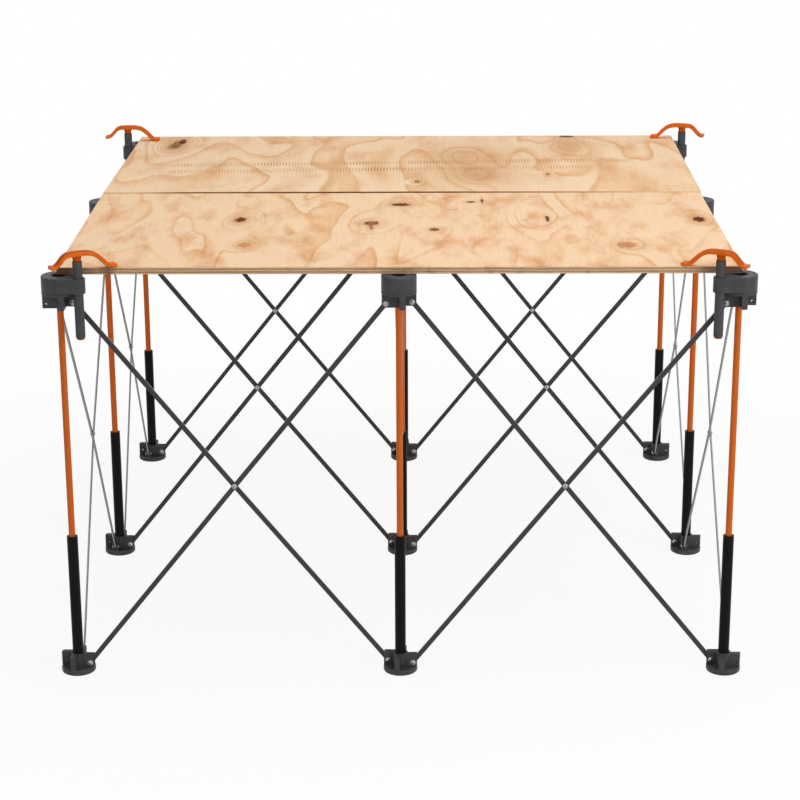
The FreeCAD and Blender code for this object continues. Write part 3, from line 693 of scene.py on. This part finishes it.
# %% Loft the band
def add_band(mesh):
    rows = smooth_stations(BOW_STATIONS, STEPS_PER_STATION)
    rings = []
    for index, (x, z, half_width, half_thick, fork) in enumerate(rows):
        ahead = rows[min(index + 1, len(rows) - 1)]
        behind = rows[max(index - 1, 0)]
        along = Vector((ahead[0] - behind[0], 0, ahead[1] - behind[1])).normalized()
        outward = Vector((-along.z, 0, along.x))
        inward = 1 if x < 0 else -1
        groove = FLANK_GROOVE * min(max(GROOVE_END - half_width, 0.0) / GROOVE_FADE, 1.0)
        ring = []
        for k in range(RING_POINTS):
            across, up = superellipse(2 * math.pi * k / RING_POINTS)
            dip = groove * math.exp(-((up / GROOVE_HEIGHT) ** 2)) * across
            point = Vector((x, half_width * across - dip, z))
            point += outward * half_thick * up
            point += along * inward * fork * (1 - abs(across))
            ring.append(mesh.verts.new(point * MM))
        rings.append(ring)
    # Top faces between the feet take the darker enamel, painted shade.
    for first, second in zip(rings, rings[1:]):
        between_feet = SHADED_TOP_SPAN[0] * MM < first[0].co.x < SHADED_TOP_SPAN[1] * MM
        for k in range(RING_POINTS):
            n = (k + 1) % RING_POINTS
            side = mesh.faces.new((first[k], first[n], second[n], second[k]))
            side.material_index = 1 if between_feet and k in SHADED_TOP_STEPS else 0
    half = RING_POINTS // 2
    for ring in (rings[0], rings[-1]):
        mesh.faces.new((ring[0], ring[1], ring[-1]))
        for k in range(1, half - 1):
            mesh.faces.new((ring[k], ring[k + 1], ring[-k - 1], ring[-k]))
        mesh.faces.new((ring[half - 1], ring[half], ring[half + 1]))


print("band ready")

# %% [markdown]
# Under the band a turned neck meets the stem, and the rod runs down inside it to a rounded tip that
# shows below. A profile of radius and height, spun round the axis, gives all three. All three take
# the darker copy of the enamel: painted shade.

# %% Turn the neck and rod
# Radius, and height above the panel, mm
ROD_PROFILE = [
    (0.0, -125.3),
    (5.4, -125.3),
    (6.7, -124.7),
    (7.3, -123.5),
    (7.4, -122.4),
    (5.0, -122.3),
    (5.0, 17.3),
    (7.4, 17.3),
    (7.4, 21.0),
    (7.8, 23.8),
    (9.0, 26.0),
    (10.6, 27.6),
    (0.0, 29.0),
]
TURN_POINTS = 28
# Above this height the neck spreads along the bow only, to stay inside its band.
FLARE_HEIGHT = 23
FLARE_WIDTH = 6.8


def add_rod(mesh):
    rings = []
    for radius, z in ROD_PROFILE:
        if radius == 0:
            rings.append([mesh.verts.new((0, 0, z * MM))])
            continue
        spread = min(radius, FLARE_WIDTH) if z > FLARE_HEIGHT else radius
        ring = []
        for k in range(TURN_POINTS):
            angle = 2 * math.pi * k / TURN_POINTS
            point = (radius * MM * math.cos(angle), spread * MM * math.sin(angle), z * MM)
            ring.append(mesh.verts.new(point))
        rings.append(ring)
    # Every face of the neck and rod takes the darker enamel, painted shade.
    for first, second in zip(rings, rings[1:]):
        for k in range(TURN_POINTS):
            n = (k + 1) % TURN_POINTS
            lower = [first[k % len(first)], first[n % len(first)]]
            upper = [second[n % len(second)], second[k % len(second)]]
            mesh.faces.new(list(dict.fromkeys(lower + upper))).material_index = 1


print("rod ready")

# %% Place the four bows
BOW_TURN = {"front_left": 27.0, "front_right": 153.0, "rear_left": 2.0, "rear_right": 166.0}
joints = {joint["name"]: joint for joint in frame["record"]["behaviour"]["joints"]}
bows = []
for corner, degrees in BOW_TURN.items():
    axis_x, axis_y, _ = joints["bow_swivel_" + corner]["pos_m"]
    mesh = bmesh.new()
    add_band(mesh)
    add_rod(mesh)
    turn = Matrix.Rotation(math.radians(degrees), 4, "Z")
    place = Matrix.Translation((axis_x, axis_y, panel_high.z)) @ turn
    bmesh.ops.transform(mesh, matrix=place, verts=mesh.verts)
    bow = finished("cast_bow_" + corner, mesh, [bow_enamel, bow_painted_shade], "bow_" + corner)
    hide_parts("clamp_bow_" + corner)
    bows.append(bow)
print([bow.name for bow in bows], len(bows[0].data.polygons), "faces each")

# %% [markdown]
# ## Dressing the CAD nodes
# A CAD node can hold several solids under one mesh: a head and its pins, or a foot, its tube and its
# bush. The mesh itself stays untouched. Its triangles are grouped into solids by shared corners, and
# each group gets the slot of its real material, which its size tells. The narrow edges of the bars
# then take a much paler copy of the bar coat, a painted highlight.

# %% Group a node's triangles into solids
# Corners that agree to a micrometre are one. A bar's flats face across its run, and what faces
# otherwise by this much is its sheared edge.
CORNER_GRID = 1e6
EDGE_FACING = 0.5


def solids_of(mesh):
    """For each connected solid: its face indices, and its lowest and highest corner."""
    corner_of = {}
    keys = []
    for vertex in mesh.vertices:
        key = tuple(round(c * CORNER_GRID) for c in vertex.co)
        keys.append(corner_of.setdefault(key, len(corner_of)))
    parent = list(range(len(corner_of)))

    def root(i):
        while parent[i] != i:
            parent[i] = parent[parent[i]]
            i = parent[i]
        return i

    for face in mesh.polygons:
        first = root(keys[face.vertices[0]])
        for vertex in face.vertices[1:]:
            parent[root(keys[vertex])] = first
    groups = {}
    for face in mesh.polygons:
        groups.setdefault(root(keys[face.vertices[0]]), []).append(face.index)
    solids = []
    for faces in groups.values():
        points = [mesh.vertices[v].co for f in faces for v in mesh.polygons[f].vertices]
        low = Vector([min(p[i] for p in points) for i in range(3)])
        high = Vector([max(p[i] for p in points) for i in range(3)])
        solids.append((faces, low, high))
    return solids


def dress(node_name, choose):
    """Give each solid of a node the material that choose(low, high) names; return its pins."""
    mesh = frame["nodes"][node_name].data
    mesh.materials.clear()
    slots = []
    pins = []
    for faces, low, high in solids_of(mesh):
        material = choose(low, high)
        if material not in slots:
            slots.append(material)
            mesh.materials.append(material)
        for index in faces:
            mesh.polygons[index].material_index = slots.index(material)
        if material is zinc:
            pins.append((low, high))
        if material is bar_steel:
            # The bar's narrow edges take the paler coat, a painted highlight.
            flat = 1 if (high - low).x > (high - low).y else 0
            mesh.materials.append(lit_bar_edge)
            slots.append(lit_bar_edge)
            for index in faces:
                if abs(mesh.polygons[index].normal[flat]) < EDGE_FACING:
                    mesh.polygons[index].material_index = slots.index(lit_bar_edge)
    return pins


print("grouping ready")

# %% Heads, legs, bars and clamps
PIN_SPAN = 20 * MM
BUSH_SPAN = 30 * MM
LOWER_TUBE_SPAN = 200 * MM
UPPER_TUBE_SPAN = 500 * MM


def leg_material(low, high):
    size = high - low
    if max(size) < PIN_SPAN:
        return zinc
    if size.z > UPPER_TUBE_SPAN:
        return orange_tube
    if size.z > LOWER_TUBE_SPAN:
        return black_tube
    if max(size.x, size.y) < BUSH_SPAN:
        return bush_acetal
    return nylon


def bar_material(low, high):
    return bar_steel if max(high - low) > PIN_SPAN else zinc


FINISH_OF = {
    "head_": leg_material,
    "lower_leg_": leg_material,
    "upper_tube_": leg_material,
    "leg_top_": leg_material,
    "bar_": bar_material,
    "clamp_stem_": lambda low, high: stem_rubber,
    "clamp_bow_": lambda low, high: bow_enamel,
    "clamp_collars": lambda low, high: nylon,
    "plywood_panels": lambda low, high: plywood_face,
}
pins_of = {}
for name in frame["nodes"]:
    choose = next(rule for start, rule in FINISH_OF.items() if name.startswith(start))
    pins_of[name] = dress(name, choose)
print("pins found", sum(len(pins) for pins in pins_of.values()))

# %% [markdown]
# ## Rivet heads
# Every pivot and every crossing of two bars is closed by a rivet with a washer under its set head.
# The same small form repeats over a hundred times, so Geometry Nodes place it: a point at each end of
# each pin carries the pin's direction, and the tree sets a domed head and a washer there.

# %% Tree of the rivet heads
HEAD_RADIUS = 4.5 * MM
HEAD_RISE = 1.75 * MM
WASHER_RADIUS = 5.0 * MM
WASHER_THICK = 0.5 * MM
NUB_RADIUS = 1.3 * MM
CAD_HEAD_RISE = 1.6 * MM
CREASE = math.radians(40)
DOME_SEGMENTS = 16
DOME_RINGS = 8
WASHER_SIDES = 20


def rivet_tree():
    tree = bpy.data.node_groups.new("rivet_heads", "GeometryNodeTree")
    tree.interface.new_socket(name="Geometry", in_out="OUTPUT", socket_type="NodeSocketGeometry")
    tree.interface.new_socket(name="Geometry", in_out="INPUT", socket_type="NodeSocketGeometry")
    sizes = ("Head Radius", "Head Rise", "Washer Radius", "Washer Thickness", "Nub Radius")
    for name in sizes:
        tree.interface.new_socket(name=name, in_out="INPUT", socket_type="NodeSocketFloat")
    tree.interface.new_socket(name="Finish", in_out="INPUT", socket_type="NodeSocketMaterial")
    given = add(tree, "NodeGroupInput").outputs
    ball_size = {"Segments": DOME_SEGMENTS, "Rings": DOME_RINGS, "Radius": 1.0}
    ball = add(tree, "GeometryNodeMeshUVSphere", ball_size)
    dome_size = {"X": given["Head Radius"], "Y": given["Head Radius"], "Z": given["Head Rise"]}
    dome_scale = add(tree, JOIN, dome_size)
    dome = add(tree, "GeometryNodeTransform", {"Geometry": ball.outputs["Mesh"], "Scale": dome_scale})
    nub_size = {"X": given["Nub Radius"], "Y": given["Nub Radius"], "Z": given["Nub Radius"]}
    nub_scale = add(tree, JOIN, nub_size)
    nub_place = add(tree, JOIN, {"Z": given["Nub Radius"]})
    nub_parts = {"Geometry": ball.outputs["Mesh"], "Scale": nub_scale, "Translation": nub_place}
    nub = add(tree, "GeometryNodeTransform", nub_parts)
    double = add(tree, MATH, {0: given["Washer Thickness"], 1: 2.0}, operation="MULTIPLY")
    washer_size = {"Vertices": WASHER_SIDES, "Radius": given["Washer Radius"], "Depth": double}
    washer = add(tree, "GeometryNodeMeshCylinder", washer_size).outputs["Mesh"]
    head = add(tree, "GeometryNodeJoinGeometry", {"Geometry": [dome, nub, washer]})
    axis = add(tree, "GeometryNodeInputNamedAttribute", {"Name": "axis"}, data_type="FLOAT_VECTOR")
    turn = add(tree, "FunctionNodeAlignRotationToVector", {"Vector": axis.outputs["Attribute"]}, axis="Z")
    points = {"Points": given["Geometry"], "Instance": head, "Rotation": turn}
    placed = add(tree, "GeometryNodeInstanceOnPoints", points)
    real = add(tree, "GeometryNodeRealizeInstances", {"Geometry": placed})
    coloured = add(tree, "GeometryNodeSetMaterial", {"Geometry": real, "Material": given["Finish"]})
    add(tree, "NodeGroupOutput", {"Geometry": coloured})
    return tree


rivets = rivet_tree()
print(rivets.name, "nodes", len(rivets.nodes))


# %% Set the rivet heads of each body
def rivet_points(pins):
    """A point and an outward direction for both heads of each pin."""
    points = []
    axes = []
    for low, high in pins:
        size = high - low
        axis = Vector((1, 0, 0)) if size.x > size.y else Vector((0, 1, 0))
        reach = size.dot(axis) / 2 - CAD_HEAD_RISE
        for side in (-1, 1):
            points.append((low + high) / 2 + axis * reach * side)
            axes.append(axis * side)
    return points, axes


def set_rivets(body, pins):
    points, axes = rivet_points(pins)
    seeds = bpy.data.meshes.new("rivet_points")
    seeds.from_pydata(points, [], [])
    directions = seeds.attributes.new("axis", "FLOAT_VECTOR", "POINT")
    directions.data.foreach_set("vector", [c for axis in axes for c in axis])
    carrier = bpy.data.objects.new("rivet_points", seeds)
    scene.collection.objects.link(carrier)
    modifier = carrier.modifiers.new("rivet_heads", "NODES")
    modifier.node_group = rivets
    wanted = {
        "Head Radius": HEAD_RADIUS,
        "Head Rise": HEAD_RISE,
        "Washer Radius": WASHER_RADIUS,
        "Washer Thickness": WASHER_THICK,
        "Nub Radius": NUB_RADIUS,
        "Finish": zinc,
    }
    for item in rivets.interface.items_tree:
        if item.in_out == "INPUT" and item.name in wanted:
            modifier[item.identifier] = wanted[item.name]
    graph = bpy.context.evaluated_depsgraph_get()
    data = bpy.data.meshes.new_from_object(carrier.evaluated_get(graph))
    bpy.data.objects.remove(carrier)
    data.polygons.foreach_set("use_smooth", [True] * len(data.polygons))
    data.set_sharp_from_angle(angle=CREASE)
    piece = bpy.data.objects.new("rivet_heads_" + body, data)
    scene.collection.objects.link(piece)
    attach(piece, body)
    return len(points)


heads_set = 0
for body, nodes in frame["record"]["behaviour"]["bodies"].items():
    pins = [pin for node in nodes for pin in pins_of[node]]
    if pins:
        heads_set += set_rivets(body, pins)
print("rivet heads", heads_set)

# %% [markdown]
# ## Studio floor, light and camera
# The object stands on a white sweep with soft light from all round. The sweep looks white to the
# camera and to mirrors by Light Path, and is ordinary white paper to every other ray, so it throws
# light back up. Close to the object some of the paper itself shows, which keeps the soft shadows.

# %% White floor and world
FLOOR_HALF = 9.0
FLOOR_DROP = 0.5 * MM
SHADOW_SHARE = 0.1
SHADOW_NEAR = 0.9
SHADOW_FAR = 1.9
WORLD_LIGHT = 0.36


def seen_directly(tree):
    """One for rays from the camera, a mirror or glass, and zero for the rest."""
    rays = add(tree, "ShaderNodeLightPath").outputs
    first = add(tree, MATH, {0: rays["Is Camera Ray"], 1: rays["Is Glossy Ray"]}, operation="MAXIMUM")
    return add(tree, MATH, {0: first, 1: rays["Is Transmission Ray"]}, operation="MAXIMUM")


def studio_floor():
    data = bpy.data.meshes.new("studio_floor")
    corners = [(x * FLOOR_HALF, y * FLOOR_HALF, 0) for x, y in ((-1, -1), (1, -1), (1, 1), (-1, 1))]
    data.from_pydata(corners, [], [(0, 1, 2, 3)])
    floor = bpy.data.objects.new("studio_floor", data)
    scene.collection.objects.link(floor)
    floor.location.z = -FLOOR_DROP
    material, tree, place = blank_material("white_sweep_paper")
    far = add(tree, VECTOR, {0: place}, operation="LENGTH").outputs["Value"]
    reach = {"Value": far, "From Min": SHADOW_NEAR, "From Max": SHADOW_FAR}
    white_share = add(tree, RANGE, {**reach, "To Min": 1 - SHADOW_SHARE, "To Max": 1.0})
    share = add(tree, MATH, {0: seen_directly(tree), 1: white_share}, operation="MULTIPLY")
    paper = add(tree, "ShaderNodeBsdfDiffuse", {"Color": linear("#fbfbfa")})
    white = add(tree, "ShaderNodeEmission", {"Color": (1, 1, 1, 1), "Strength": 1.0})
    mixed = add(tree, "ShaderNodeMixShader", {0: share, 1: paper, 2: white})
    add(tree, OUTPUT, {"Surface": mixed})
    data.materials.append(material)


studio_floor()
world = bpy.data.worlds.new("studio")
scene.world = world
world.use_nodes = True
air = world.node_tree
air.nodes.clear()
level = add(air, RANGE, {"Value": seen_directly(air), "To Min": WORLD_LIGHT, "To Max": 1.0})
sky = add(air, "ShaderNodeBackground", {"Color": (1, 1, 1, 1), "Strength": level})
add(air, "ShaderNodeOutputWorld", {"Surface": sky})
print("floor and world ready")

# %% Lamps
# Each lamp: name, place, the point it faces, size of its square in metres, and watts.
LAMPS = [
    ("overhead_box", (0.5, -0.4, 3.6), (0, 0, 0.6), 2.6, 50),
    ("front_left_box", (-2.8, -3.4, 2.0), (0, 0, 0.5), 2.0, 14),
    ("front_right_box", (3.0, -3.0, 1.8), (0, 0, 0.5), 1.8, 58),
]


def soft_box(name, place, aim, size, watts):
    data = bpy.data.lights.new(name, "AREA")
    data.size = size
    data.energy = watts
    lamp = bpy.data.objects.new(name, data)
    scene.collection.objects.link(lamp)
    lamp.location = place
    lamp.rotation_euler = (Vector(aim) - Vector(place)).to_track_quat("-Z", "Y").to_euler()


for lamp in LAMPS:
    soft_box(*lamp)
print("lamps", [lamp[0] for lamp in LAMPS])

# %% [markdown]
# The camera was fitted to the photograph from the grid of pivots: it stands well back and looks down
# a little, so the far legs shrink only slightly.

# %% Camera
CAMERA_AT = (0.0335, -4.3663, 1.7322)
CAMERA_PITCH = 0.30935
CAMERA_YAW = -0.00862
CAMERA_ROLL = -0.0042
FOCAL_PIXELS = 2198.0
FRAME_PIXELS = 800
SENSOR = 36.0

level_ahead = Vector((math.sin(CAMERA_YAW), math.cos(CAMERA_YAW), 0))
ahead = level_ahead * math.cos(CAMERA_PITCH) - Vector((0, 0, math.sin(CAMERA_PITCH)))
level_right = Vector((math.cos(CAMERA_YAW), -math.sin(CAMERA_YAW), 0))
level_up = level_right.cross(ahead)
right = level_right * math.cos(CAMERA_ROLL) + level_up * math.sin(CAMERA_ROLL)
up = level_up * math.cos(CAMERA_ROLL) - level_right * math.sin(CAMERA_ROLL)
lens = bpy.data.cameras.new("photo_camera")
camera = bpy.data.objects.new("photo_camera", lens)
scene.collection.objects.link(camera)
camera.matrix_world = Matrix.Translation(CAMERA_AT) @ Matrix((right, up, -ahead)).transposed().to_4x4()
lens.sensor_width = SENSOR
lens.lens = SENSOR * FOCAL_PIXELS / FRAME_PIXELS
scene.camera = camera
print("lens", round(lens.lens, 1), "mm")
